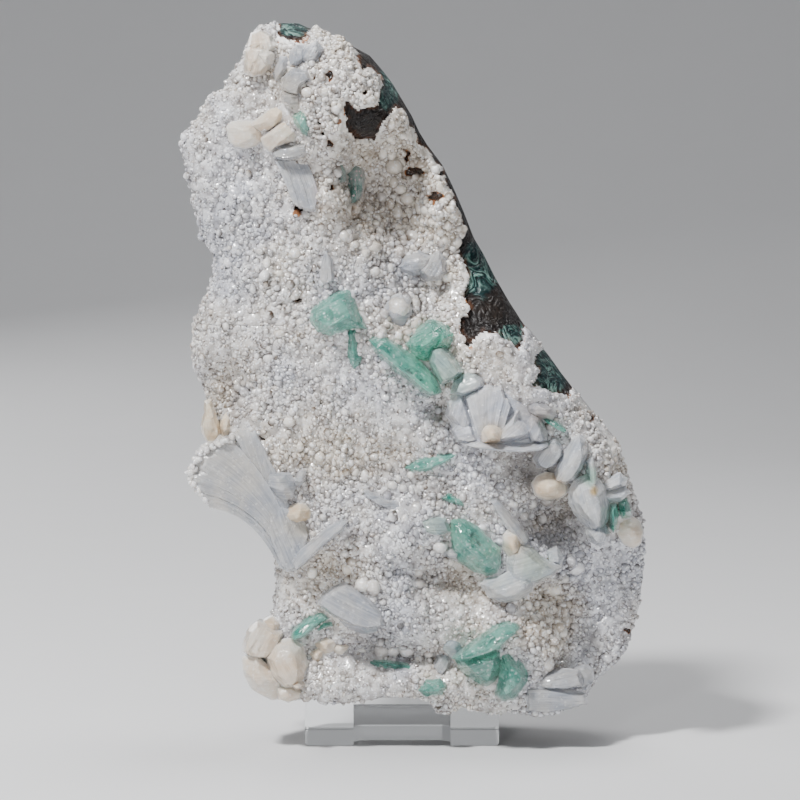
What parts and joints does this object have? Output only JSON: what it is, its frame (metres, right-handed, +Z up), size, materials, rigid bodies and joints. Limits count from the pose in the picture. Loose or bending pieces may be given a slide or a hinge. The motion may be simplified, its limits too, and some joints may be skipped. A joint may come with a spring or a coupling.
{
  "type": "green apophyllite with heulandite",
  "caption": "Upright mineral specimen on a clear stand: a dark basalt slab under a lumpy white crust set with pale green blades and white and cream crystal sheaves.",
  "frame": {"origin": "middle of the clear stand's underside", "axes": "+Z up the specimen, +X to the right of its crystal face, which looks along -Y"},
  "size_m": [0.1168, 0.0572, 0.1825],
  "materials": {
    "clear_acrylic": "clear, polished",
    "basalt": "rough, dull, with teal celadonite skins",
    "white_crust": "beaded, glistening",
    "green_apophyllite": "glassy, see-through",
    "white_heulandite": "pearly, streaked along the blades",
    "cream_heulandite": "waxy"
  },
  "bodies": {
    "root": {"acrylic_stand": "clear_acrylic", "basalt_matrix": "basalt", "white_crust": "white_crust", "apophyllite_upper_left": "green_apophyllite", "apophyllite_small_blade": "green_apophyllite", "apophyllite_centre_blade": "green_apophyllite", "apophyllite_upper_right": "green_apophyllite", "apophyllite_lower_centre": "green_apophyllite", "apophyllite_foot_cluster": "green_apophyllite", "apophyllite_thin_blade": "green_apophyllite", "apophyllite_small_chip": "green_apophyllite", "apophyllite_left_foot": "green_apophyllite", "apophyllite_right_edge": "green_apophyllite", "apophyllite_shoulder_chip": "green_apophyllite", "apophyllite_vug": "green_apophyllite", "apophyllite_top_chip": "green_apophyllite", "apophyllite_foot_sliver": "green_apophyllite", "apophyllite_foot_wedge": "green_apophyllite", "heulandite_pale_wedge": "white_heulandite", "heulandite_foot_chip": "white_heulandite", "heulandite_large_sheaf": "white_heulandite", "heulandite_lower_blade": "white_heulandite", "heulandite_notch_pair": "cream_heulandite", "heulandite_cream_block": "cream_heulandite", "heulandite_right_sheaf": "white_heulandite", "heulandite_edge_sheaf": "white_heulandite", "heulandite_edge_ball": "cream_heulandite", "heulandite_shoulder_block": "white_heulandite", "heulandite_lower_sheaf": "white_heulandite", "heulandite_foot_plate": "white_heulandite", "heulandite_foot_cluster": "cream_heulandite", "heulandite_foot_pebbles": "cream_heulandite", "heulandite_top_block": "cream_heulandite", "heulandite_top_column": "white_heulandite", "heulandite_upper_bar": "cream_heulandite", "heulandite_upper_blade": "white_heulandite", "heulandite_mid_splinter": "white_heulandite", "heulandite_vug_cluster": "white_heulandite", "heulandite_vug_grapes": "white_heulandite", "heulandite_right_foot": "white_heulandite"}
  },
  "joints": []
}
